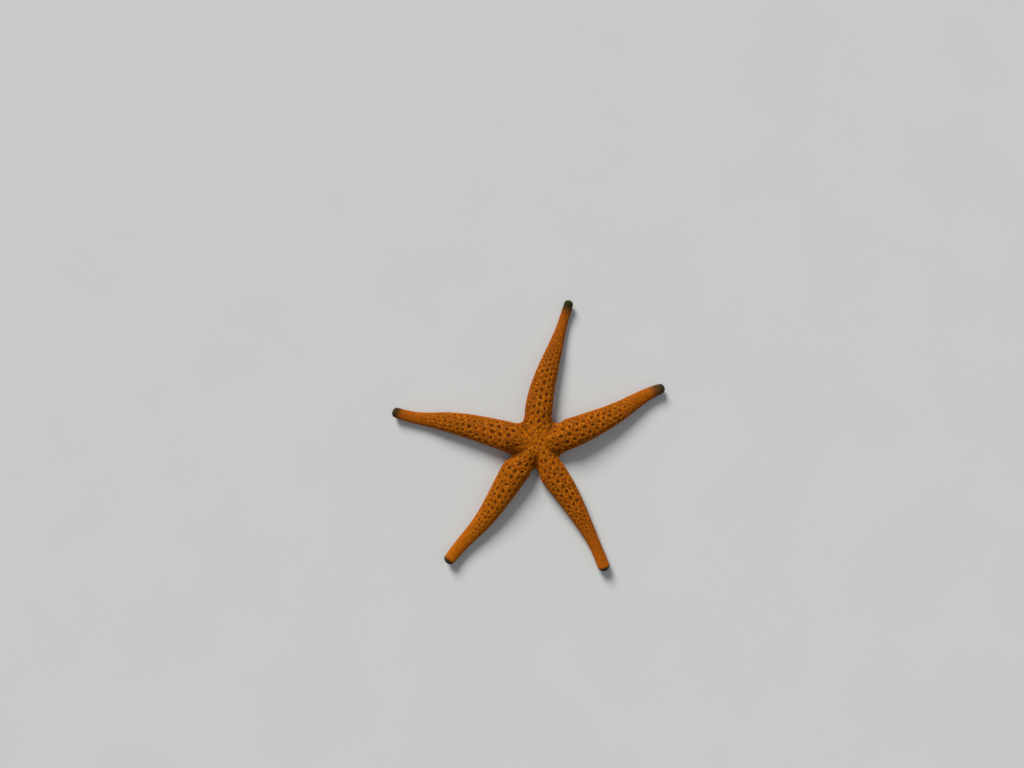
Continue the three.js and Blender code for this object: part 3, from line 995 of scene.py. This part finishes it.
class ToneSettings(PropertyGroup):
    back: colour_property("Back", "Orange of the back", (0.44, 0.101, 0.001))
    back_warm: colour_property("Warm back", "Redder orange of the back", (0.385, 0.079, 0.001))
    net: colour_property("Net", "Yellow-orange net between the pores", (0.69, 0.21, 0.001))
    stain: colour_property("Stain", "Dull orange-brown clouds", (0.25, 0.056, 0.001))
    # This dark brown also paints the shade along the creases between the arms.
    pore: colour_property("Pore", "Dark brown inside a pore", (0.2, 0.057, 0.001))
    tip: colour_property("Tip", "Dark olive brown of the arm tips", (0.095, 0.045, 0.009))
    belly: colour_property("Belly", "Paler orange of the underside", (0.58, 0.21, 0.03))


class CoatSettings(PropertyGroup):
    spacing: length_property("Spacing", "Least distance between granules", 0.39)
    radius: length_property("Radius", "Radius of a granule at the disc", 0.295)
    seed: IntProperty(name="Seed", description="Scatter of the granules", default=5)


class FeetSettings(PropertyGroup):
    foot_pitch: length_property("Foot pitch", "Spacing of the tube feet along a groove", 1.3)
    foot_radius: length_property("Foot radius", "Radius of a tube foot's stalk", 0.3)
    spine_pitch: length_property("Spine pitch", "Spacing of the groove spines", 0.95)
    spine_length: length_property("Spine length", "Length of a groove spine at the disc", 1.3)


class StageSettings(PropertyGroup):
    distance: length_property("Distance", "Camera to the spot it looks at", 400)
    elevation: FloatProperty(
        name="Elevation",
        description="How steeply the camera looks down",
        default=math.radians(84.5),
        subtype="ANGLE",
    )
    lens: FloatProperty(
        name="Lens", description="Focal length in millimetres", default=25.9, unit="CAMERA"
    )
    key: FloatProperty(name="Key", description="Strength of the main light", default=4.1)
    fill: FloatProperty(name="Fill", description="Strength of the even light", default=0.26)
    floor: colour_property("Floor", "Plain pale floor", (0.56, 0.57, 0.57))


SETTINGS = {
    "star_skin": SkinSettings,
    "star_tones": ToneSettings,
    "star_coat": CoatSettings,
    "star_feet": FeetSettings,
    "star_stage": StageSettings,
}

# ---- Pieces ----

PORES = {}
PAPULA_SEED, FOOT_SEED, SPINE_SEED = 23, 41, 57

# Outlines of the small soft parts: radius and level, from the root to the end.
PAPULA_PROFILE = ((0, -0.2), (0.9, 0.0), (1.0, 0.5), (0.62, 0.88), (0, 1.0))
FOOT_PROFILE = (
    *((0, -0.05), (0.9, 0.0), (1.0, 0.3), (0.8, 0.62), (0.85, 0.82)),
    *((1.5, 0.92), (1.55, 0.97), (0.9, 1.0), (0, 0.98)),
)
SPINE_PROFILE = ((0, -0.15), (0.8, 0.0), (1.0, 0.35), (0.85, 0.75), (0.5, 0.95), (0, 1.0))

# Papulae: how deep their roots lie under a pore's floor, how far out in it they stand, their
# radius and height as shares of its radius and depth, and what they are taller than that.
PAPULA_SINK = 0.05
PAPULA_RING = 0.58
PAPULA_WIDTHS = (0.15, 0.21)
PAPULA_HEIGHTS = (0.55, 0.95)
PAPULA_RISE = 0.12

# End plates: angle of the lower edges, rows and columns, size of the wavy inner edge, height
# and wave lengths of the knobs, and how deep the outside and the inside lie under the arm's
# surface, with the bevel at the rim.
CAP_EDGE = -24
CAP_ROWS, CAP_COLUMNS = 20, 57
SCALLOP = 0.35
KNOB_HEIGHT = 0.12
KNOB_WAVES = (1.5, 1.1, 0.9, 1.3, 0.8)
CAP_OUTSIDE = 0.17
CAP_BEVEL = 0.16
CAP_INSIDE = 0.42
CAP_INSIDE_RIM = 0.34
CUP_DEPTH = 0.07  # of an eyespot's cups, as a share of its size

# Sieve plate: size, how far its rim drops and where its underside ends, furrows, and the reach
# over which the slope of the back is taken.
SIEVE_RADIUS, SIEVE_RISE = 1.62, 0.468
SIEVE_RINGS, SIEVE_SIDES = 20, 144
SIEVE_DROP, SIEVE_BOTTOM = 0.3, -0.5
FURROWS, FURROW_DEPTH = 24, 0.085
SLOPE_REACH = 0.8

# Along an arm, where feet and spines start and how far short of its end they stop.
FEET_FROM, FEET_SHORT = 5.5, 3.6
SPINES_FROM, SPINES_SHORT = 4.6, 2.4

# The two files of feet: angle from the groove's middle, offset to the side and step along.
FOOT_TURN = 2.4
FOOT_OFFSET = 0.3
FOOT_STAGGER = 0.3
SPINE_RADIUS = 0.2

# Room between the ground and the ends of feet and spines.
FOOT_ROOM, SPINE_ROOM = 0.12, 0.22

# Rows of spines on a groove's edge: angle from its middle, least height and rise of the root,
# lean inward and down, share of full length and width, and step along the arm.
SPINE_ROWS = (
    (11.0, 0.42, 0.25, 0.85, -0.32, 1.0, 1.0, 0.0),
    (17.0, 0.34, 0.0, 0.5, -0.1, 0.75, 1.25, 0.4),
)

# Rows of spines on a jaw: distance from the mouth's middle, count and length.
JAW_ROWS = ((4.3, 6, 1.5), (5.3, 6, 1.15), (6.4, 4, 0.9))
JAW_LEVEL = 0.52


class STAR_OT_skin(Operator):
    """One closed skin over disc and arms, with pores, plates and creases in its shape"""

    bl_idname = "star.build_skin"
    bl_label = "Skin"

    def execute(self, context):
        piece, pores = build_skin(context.scene.star_skin)
        PORES.update(pores)
        # depth 0.42: painted shade on the bare skin that lies between the granules.
        material = living_material("starfish skin", context.scene.star_tones, 0.42)
        parts = [f"{arm.name}_{part}" for arm in ARMS for part in ("inner", "middle", "outer")]
        settle(piece, "skin", "disc", *parts, material=material)
        return {"FINISHED"}


class STAR_OT_granules(Operator):
    """Granules close together over the whole skin but for pores, mouth and grooves"""

    bl_idname = "star.build_granules"
    bl_label = "Granules"

    def execute(self, context):
        coat = context.scene.star_coat
        skin = bpy.data.objects.get("skin")
        if skin is None:
            raise RuntimeError("build the skin first")
        values = {"Spacing": coat.spacing, "Radius": coat.radius}
        values["Material"] = living_material("starfish granules", context.scene.star_tones, 0.0)
        group, names = granule_tree()
        for index, arm in enumerate(ARMS):
            values |= {"Arm": index, "Seed": coat.seed + index}
            settle(run_tree(skin, group, names, values, f"granules_{arm.name}"), "skin")
        return {"FINISHED"}


def spot_roots(random, middle, normal, forward, radius, sink, count):
    """Roots on the floor of a pore: one in the middle and the others round it."""
    across = np.cross(normal, forward)
    turn = random.uniform(0, 2 * math.pi)
    rows = []
    for k in range(count):
        share = 0.0 if k == 0 else PAPULA_RING
        around = turn + 2 * math.pi * k / max(1, count - 1)
        offset = (forward * math.cos(around) + across * math.sin(around)) * radius * share
        rows.append(middle + offset - normal * sink)
    return rows


class STAR_OT_papulae(Operator):
    """Soft breathing fingers on the floor of every pore"""

    bl_idname = "star.build_papulae"
    bl_label = "Papulae"

    def execute(self, context):
        if not PORES:
            raise RuntimeError("build the skin first")
        random = np.random.default_rng(PAPULA_SEED)
        roots = new_roots()
        floor = COAT_DEPTH + context.scene.star_skin.plate_swell / MM + PAPULA_SINK
        for place, radius, depth in zip(PORES["place"], PORES["radius"], PORES["depth"]):
            place = (int(place[0]), place[1], place[2])
            count = 7 if radius > 0.75 else 5 if radius > 0.5 else 3
            middle, normal, forward = body_frames(*place)
            for point in spot_roots(random, middle, normal, forward, radius, depth + floor, count):
                wide = radius * random.uniform(*PAPULA_WIDTHS)
                lean = normal + random.normal(0, 0.14, 3)
                tall = depth * random.uniform(*PAPULA_HEIGHTS) + PAPULA_RISE
                add_row(roots, point, lean, (wide, wide, tall), unwrap(*place))
        material = plain_material("papula")
        settle(grow("papulae", turned_shape("papula", PAPULA_PROFILE, 6), roots, material), "skin")
        return {"FINISHED"}


def cap_shell(index):
    """The plate that caps an arm: a curved shell over the back and flanks of its tip."""
    arm = ARMS[index]
    rounding, shoulder = tip_shape(arm)
    start = arm.length - arm.cap
    first = math.degrees(math.asin(max(0.0, start - shoulder) / rounding))
    curved = shoulder + rounding * sine(np.linspace(first, 86, CAP_ROWS))
    straight = np.linspace(start, shoulder, 6)[:-1] if start < shoulder - 0.05 else []
    angles = np.linspace(CAP_EDGE, 180 - CAP_EDGE, CAP_COLUMNS)
    far, around = np.meshgrid(np.concatenate([straight, curved]), angles, indexing="ij")
    scallop = SCALLOP * cosine((around - 90) * 2.0) * (1 - smooth(0, 2.0, far - start))
    points = arm_points(index, far - scallop, around)
    normals = unit(np.cross(np.gradient(points, axis=1), np.gradient(points, axis=0)))
    knobs = np.maximum(0.0, ripple(points, KNOB_WAVES, 31 + index))
    sides = smooth(0, 16, around - CAP_EDGE) * smooth(0, 16, 180 - CAP_EDGE - around)
    edge = smooth(0, 0.8, far - start) * sides
    outside = KNOB_HEIGHT * knobs * edge - CAP_BEVEL * (1 - edge) - CAP_OUTSIDE
    inside = CAP_INSIDE * edge + CAP_INSIDE_RIM * (1 - edge)
    return points + normals * outside[..., None], points - normals * inside[..., None]


def shell_faces(rows, columns):
    """Faces of two facing grids joined round their edges into one closed shell."""
    faces = []
    far = rows * columns
    for i in range(rows - 1):
        for j in range(columns - 1):
            a, b = i * columns + j, (i + 1) * columns + j
            faces.append((a, a + 1, b + 1, b))
            faces.append((far + a, far + b, far + b + 1, far + a + 1))
    rim = list(range(columns))
    rim += [i * columns + columns - 1 for i in range(1, rows)]
    rim += [(rows - 1) * columns + j for j in range(columns - 2, -1, -1)]
    rim += [i * columns for i in range(rows - 2, 0, -1)]
    for a, b in zip(rim, rim[1:] + rim[:1]):
        faces.append((b, a, far + a, far + b))
    return faces


class STAR_OT_caps(Operator):
    """The dark end plate that caps each arm"""

    bl_idname = "star.build_caps"
    bl_label = "End plates"

    def execute(self, context):
        material = plain_material("end plate")
        for index, arm in enumerate(ARMS):
            sheets = cap_shell(index)
            points = np.vstack([sheet.reshape(-1, 3) for sheet in sheets])
            faces = shell_faces(*sheets[0].shape[:2])
            piece = mesh_object(f"end_plate_{index + 1}", points, faces)
            settle(piece, "tip_plate", f"{arm.name}_tip", material=material)
        return {"FINISHED"}


def node_middle(node):
    low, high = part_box(node)
    return (low + high) / 2, (high - low) / 2


class STAR_OT_eyespots(Operator):
    """A red cushion of tiny cups under the end of each arm"""

    bl_idname = "star.build_eyespots"
    bl_label = "Eyespots"

    def execute(self, context):
        material = plain_material("eyespot")
        for index, arm in enumerate(ARMS):
            node = f"{arm.name}_eyespot"
            middle, half = node_middle(node)
            work = bmesh.new()
            bmesh.ops.create_icosphere(work, subdivisions=4, radius=1.0)
            for vertex in work.verts:
                cups = sum(math.sin(9 * c + k) for k, c in enumerate(vertex.co)) / 3
                vertex.co *= 1 - CUP_DEPTH * (1 - cups)
                vertex.co = middle + Vector([c * h for c, h in zip(vertex.co, half)])
            mesh = bpy.data.meshes.new(f"eyespot_{index + 1}")
            work.to_mesh(mesh)
            work.free()
            mesh.shade_smooth()
            settle(link_object(mesh.name, mesh), "eyespot", node, material=material)
        return {"FINISHED"}


def crease_level(bearing, out):
    """Height of the back over a crease, at a distance out from the middle."""
    notch = min((arm.notch for arm in ARMS), key=lambda n: abs(n[0] - bearing))
    line = crease_points(notch, np.linspace(0.0, 90.0, 181))
    return float(np.interp(-out, -np.hypot(line[:, 0], line[:, 1]), line[:, 2]))


def sieve_points():
    """The sieve plate round its own upright axis, with furrows that fan out over it."""
    share = np.arange(1, SIEVE_RINGS + 1)[:, None] / SIEVE_RINGS
    around = np.arange(SIEVE_SIDES) * (2 * math.pi / SIEVE_SIDES)
    wander = 1.6 * np.sin(7 * share + 3 * around) + np.sin(11 * share - 5 * around)
    furrow = np.cos(FURROWS * around + wander * share)
    fan = smooth(0.12, 0.35, share) * (1 - smooth(0.88, 1.0, share))
    dome = SIEVE_RISE * np.sqrt(1 - share**2.6)
    level = dome - FURROW_DEPTH * fan * np.maximum(0, -furrow) - SIEVE_DROP * (share == 1)
    edge = SIEVE_RADIUS * share * (1 + 0.04 * np.sin(5 * around + 1) + 0.02 * furrow * fan)
    top, bottom = [(0.0, 0.0, SIEVE_RISE)], [(0.0, 0.0, SIEVE_BOTTOM)]
    return np.vstack([top, ring_points(edge, level, SIEVE_SIDES), bottom])


def set_on_back(points, spot):
    """Points turned to the slope of the back at a spot and moved there."""
    bearing, out = math.degrees(math.atan2(spot[1], spot[0])), math.hypot(spot[0], spot[1])
    reach = SLOPE_REACH
    inner, outer = (crease_level(bearing, out + step) for step in (-reach, reach))
    lean = Matrix.Rotation(math.atan2(inner - outer, 2 * reach), 4, "Y")
    turn = Matrix.Rotation(math.radians(bearing), 4, "Z") @ lean
    turned = np.array([turn @ Vector(point) for point in points])
    return turned + (spot[0], spot[1], crease_level(bearing, out) - COAT_DEPTH)


class STAR_OT_madreporite(Operator):
    """The sieve plate: a low button with winding furrows that fan out from its middle"""

    bl_idname = "star.build_madreporite"
    bl_label = "Sieve plate"

    def execute(self, context):
        middle, _ = node_middle("madreporite")
        points = set_on_back(sieve_points(), (np.array(middle) - DISC_CENTRE) / MM)
        faces = [face[:1] + face[:0:-1] for face in spindle_faces(SIEVE_RINGS, SIEVE_SIDES)]
        material = plain_material("sieve plate")
        piece = mesh_object("sieve_plate", points, faces)
        settle(piece, "sieve_plate", "madreporite", material=material)
        return {"FINISHED"}


def groove_steps(index, start, spare, pitch):
    """Distances along a groove, closer on a narrow arm, with its taper and leftward way."""
    distance = start
    while distance < ARMS[index].length - spare:
        taper = float(arm_width(index, distance)) / BASE_WIDTH
        yield distance, taper, leftward(index, distance)
        distance += pitch / MM * (0.5 + 0.5 * taper)


class STAR_OT_feet(Operator):
    """Tube feet in two files along each groove, standing on the ground on their suckers"""

    bl_idname = "star.build_feet"
    bl_label = "Tube feet"

    def execute(self, context):
        feet = context.scene.star_feet
        random = np.random.default_rng(FOOT_SEED)
        roots = new_roots()
        for index in range(len(ARMS)):
            steps = groove_steps(index, FEET_FROM, FEET_SHORT, feet.foot_pitch)
            for distance, taper, left in steps:
                wide = feet.foot_radius / MM * (0.45 + 0.55 * taper)
                for side in (-1, 1):
                    angle = -90 + side * FOOT_TURN
                    top = arm_points(index, distance + side * FOOT_STAGGER, angle)
                    top[:2] += left * side * FOOT_OFFSET * taper
                    top[2] += 0.1
                    spread = left * side * random.uniform(0.05, 0.3)
                    lean = np.array([*spread, -1.0]) + random.normal(0, 0.07, 3) * (1, 1, 0)
                    reach = max(0.5, (top[2] - FOOT_ROOM) / math.hypot(1, np.hypot(*lean[:2])))
                    add_row(roots, top, lean, (wide, wide, reach), unwrap(index, distance, angle))
            self.add_feeler(roots, index)
        material = plain_material("tube foot")
        shape = turned_shape("tube foot", FOOT_PROFILE, 10)
        settle(grow("tube_feet", shape, roots, material), "mouth_lip")
        return {"FINISHED"}

    def add_feeler(self, roots, index):
        """The last foot of an arm, which reaches out under its end to carry the eyespot."""
        distance = ARMS[index].length - 2.2
        root = arm_points(index, distance, -90.0)
        root[2] += 0.25
        middle, _ = node_middle(f"{ARMS[index].name}_eyespot")
        reach = (np.array(middle) - DISC_CENTRE) / MM - root
        size = (0.2, 0.2, np.linalg.norm(reach) - 0.18)
        add_row(roots, root, reach, size, unwrap(index, distance, -90.0))


class STAR_OT_spines(Operator):
    """Short blunt spines in combs along both edges of every groove and round the mouth"""

    bl_idname = "star.build_spines"
    bl_label = "Groove spines"

    def execute(self, context):
        feet = context.scene.star_feet
        random = np.random.default_rng(SPINE_SEED)
        roots = new_roots()
        for index, arm in enumerate(ARMS):
            steps = groove_steps(index, SPINES_FROM, SPINES_SHORT, feet.spine_pitch)
            for distance, taper, left in steps:
                full = feet.spine_length / MM * (0.4 + 0.6 * taper)
                for side, row in product((-1, 1), SPINE_ROWS):
                    turn, least, rise, inward, down, long, broad, onward = row
                    angle = -90 + side * turn
                    root = arm_points(index, distance + onward, angle)
                    root[2] = max(root[2], least) + rise
                    lean = np.array([*(-side * left * inward), down])
                    lean += random.normal(0, 0.09, 3) * (1, 1, 0.3)
                    drop = max(1e-6, -lean[2] / np.linalg.norm(lean))
                    length = full * (random.uniform(0.85, 1.1) * long)
                    length = max(0.3, min(length, (root[2] - SPINE_ROOM) / drop))
                    wide = SPINE_RADIUS * (0.5 + 0.5 * taper) * broad
                    add_row(roots, root, lean, (wide, wide, length), unwrap(index, distance, angle))
            self.add_jaw(roots, random, index, arm.notch[0])
        material = plain_material("groove spine")
        shape = turned_shape("spine", SPINE_PROFILE, 7)
        settle(grow("groove_spines", shape, roots, material), "skin")
        return {"FINISHED"}

    def add_jaw(self, roots, random, index, bearing):
        """A fan of spines on a jaw between two grooves, pointing in over the mouth."""
        way, across = heading_vector(bearing), heading_vector(bearing + 90)
        for row, (out, count, full) in enumerate(JAW_ROWS):
            for k in range(count):
                side = k - (count - 1) / 2
                plan = way * (out + 0.16 * abs(side)) + across * side * (0.42 + 0.06 * row)
                inward = -way * 0.95 + across * side * 0.06
                lean = np.array([*inward, -0.06]) + random.normal(0, 0.05, 3)
                lean[2] = min(lean[2], 0.0)
                wide = SPINE_RADIUS + 0.03 * (row == 0)
                size = (wide, wide, full * random.uniform(0.9, 1.1))
                add_row(roots, [*plan, JAW_LEVEL], lean, size, unwrap(index, out, 269.0))


class STAR_OT_mouth(Operator):
    """The soft lip round the mouth, with folds that run out from its opening"""

    bl_idname = "star.build_mouth"
    bl_label = "Mouth"

    def execute(self, context):
        low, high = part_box("mouth")
        base, top = low.z / MM, high.z / MM
        rings, sides = 14, 90
        share = np.arange(rings)[:, None] / (rings - 1)
        around = np.arange(sides) * (2 * math.pi / sides)
        fold = np.cos(15 * around) * (1 - share) + 0.5 * np.cos(30 * around) * share
        reach = (high.x - low.x) / 2 / MM * (0.12 + 0.86 * share)
        under = base + 0.75 - 0.55 * np.sin(math.pi * share) + 0.09 * fold
        over = top - (top - base - 0.8) * share**0.8
        sheets = (
            ring_points(reach * (1 + 0.05 * fold * (1 - share)), under, sides),
            ring_points(reach[::-1], over[::-1], sides),
        )
        total = 2 * rings * sides
        faces = []
        for a in range(0, total, sides):
            b = (a + sides) % total
            for k in range(sides):
                after = (k + 1) % sides
                faces.append((a + k, a + after, b + after, b + k))
        material = plain_material("mouth lip")
        piece = mesh_object("mouth_lip", np.vstack(sheets), faces)
        settle(piece, "mouth_lip", "mouth", material=material)
        return {"FINISHED"}


# ---- Stage ----

# The spot that the camera looks at, from the middle of the disc, in metres.
LOOK_OFFSET = (-0.01406, 0.03126, 0.0)
FLOOR_HALF = 20.0
KEY_WAY, FILL_WAY = (-0.4, 0.78, 0.62), (0.7, -0.2, 0.9)
FILL_SHARE = 0.06


def aim(thing, place, target):
    thing.location = place
    way = Vector(target) - Vector(place)
    thing.rotation_mode = "QUATERNION"
    thing.rotation_quaternion = way.to_track_quat("-Z", "Y")


def add_sun(name, way, spread, strength, colour):
    """Even light from one direction, soft as from a wide source."""
    lamp = bpy.data.lights.new(name, "SUN")
    lamp.angle = math.radians(spread)
    lamp.energy = strength
    lamp.color = colour
    aim(link_object(name, lamp), way, (0, 0, 0))


def add_floor(colour):
    """A plain floor, wide enough to fill the view."""
    far = FLOOR_HALF
    mesh = bpy.data.meshes.new("floor")
    corners = [(-far, -far, 0), (far, -far, 0), (far, far, 0), (-far, far, 0)]
    mesh.from_pydata(corners, [], [(0, 1, 2, 3)])
    material, tree, shader = start_material("pale floor", 0.85, 0.2)
    dim = tuple(0.96 * c for c in colour[:3]) + (1,)
    tone = blend_colour(tree, cloud(tree, 60.0), dim, tuple(colour))
    tree.put(shader.inputs["Base Color"], tone)
    mesh.materials.append(material)
    link_object("floor", mesh)


def add_sky(strength):
    """Even, slightly cool light from all round."""
    world = bpy.data.worlds.new("studio")
    world.use_nodes = True
    ground = world.node_tree.nodes["Background"]
    ground.inputs["Color"].default_value = (0.92, 0.96, 1.0, 1)
    ground.inputs["Strength"].default_value = strength
    bpy.context.scene.world = world


def add_camera(stage):
    """The camera, high over the animal and tilted back a little."""
    camera = bpy.data.cameras.new("camera")
    camera.lens = stage.lens
    camera.sensor_width = 36.0
    camera.clip_start = 0.01
    camera.clip_end = 100.0
    target = Vector(DISC_CENTRE) + Vector(LOOK_OFFSET)
    back = Vector((0, -math.cos(stage.elevation), math.sin(stage.elevation)))
    made = link_object("camera", camera)
    aim(made, target + back * stage.distance, target)
    bpy.context.scene.camera = made


class STAR_OT_stage(Operator):
    """Pale floor, soft light from behind and the left, and the camera high over the animal"""

    bl_idname = "star.build_stage"
    bl_label = "Stage"

    def execute(self, context):
        stage = context.scene.star_stage
        add_floor(stage.floor)
        add_sun("key", KEY_WAY, 26, stage.key, (1, 0.98, 0.94))
        add_sun("fill", FILL_WAY, 60, stage.key * FILL_SHARE, (0.94, 0.97, 1))
        add_sky(stage.fill)
        add_camera(stage)
        context.scene.view_settings.view_transform = "Standard"
        return {"FINISHED"}


# ---- Panel and start ----


class STAR_PT_panel(Panel):
    """Lists the builders and their settings"""

    bl_label = "Smooth starfish"
    bl_idname = "STAR_PT_panel"
    bl_space_type = "VIEW_3D"
    bl_region_type = "UI"
    bl_category = "Starfish"

    def draw(self, context):
        for name in SETTINGS:
            box = self.layout.box()
            settings = getattr(context.scene, name)
            for key in settings.__annotations__:
                box.prop(settings, key)
        for builder in BUILDERS:
            self.layout.operator(builder.bl_idname)


BUILDERS = (
    STAR_OT_stage,
    STAR_OT_skin,
    STAR_OT_granules,
    STAR_OT_papulae,
    STAR_OT_caps,
    STAR_OT_eyespots,
    STAR_OT_madreporite,
    STAR_OT_feet,
    STAR_OT_spines,
    STAR_OT_mouth,
)


def register():
    for group in SETTINGS.values():
        bpy.utils.register_class(group)
    for name, group in SETTINGS.items():
        setattr(bpy.types.Scene, name, PointerProperty(type=group))
    for builder in (*BUILDERS, STAR_PT_panel):
        bpy.utils.register_class(builder)


def unregister():
    for builder in reversed((*BUILDERS, STAR_PT_panel)):
        bpy.utils.unregister_class(builder)
    for name, group in SETTINGS.items():
        delattr(bpy.types.Scene, name)
        bpy.utils.unregister_class(group)


def main():
    register()
    bpy.ops.star.build_stage()
    bpy.ops.star.build_skin()
    bpy.ops.star.build_granules()
    bpy.ops.star.build_papulae()
    bpy.ops.star.build_caps()
    bpy.ops.star.build_eyespots()
    bpy.ops.star.build_madreporite()
    bpy.ops.star.build_feet()
    bpy.ops.star.build_spines()
    bpy.ops.star.build_mouth()


if __name__ == "__main__":
    main()
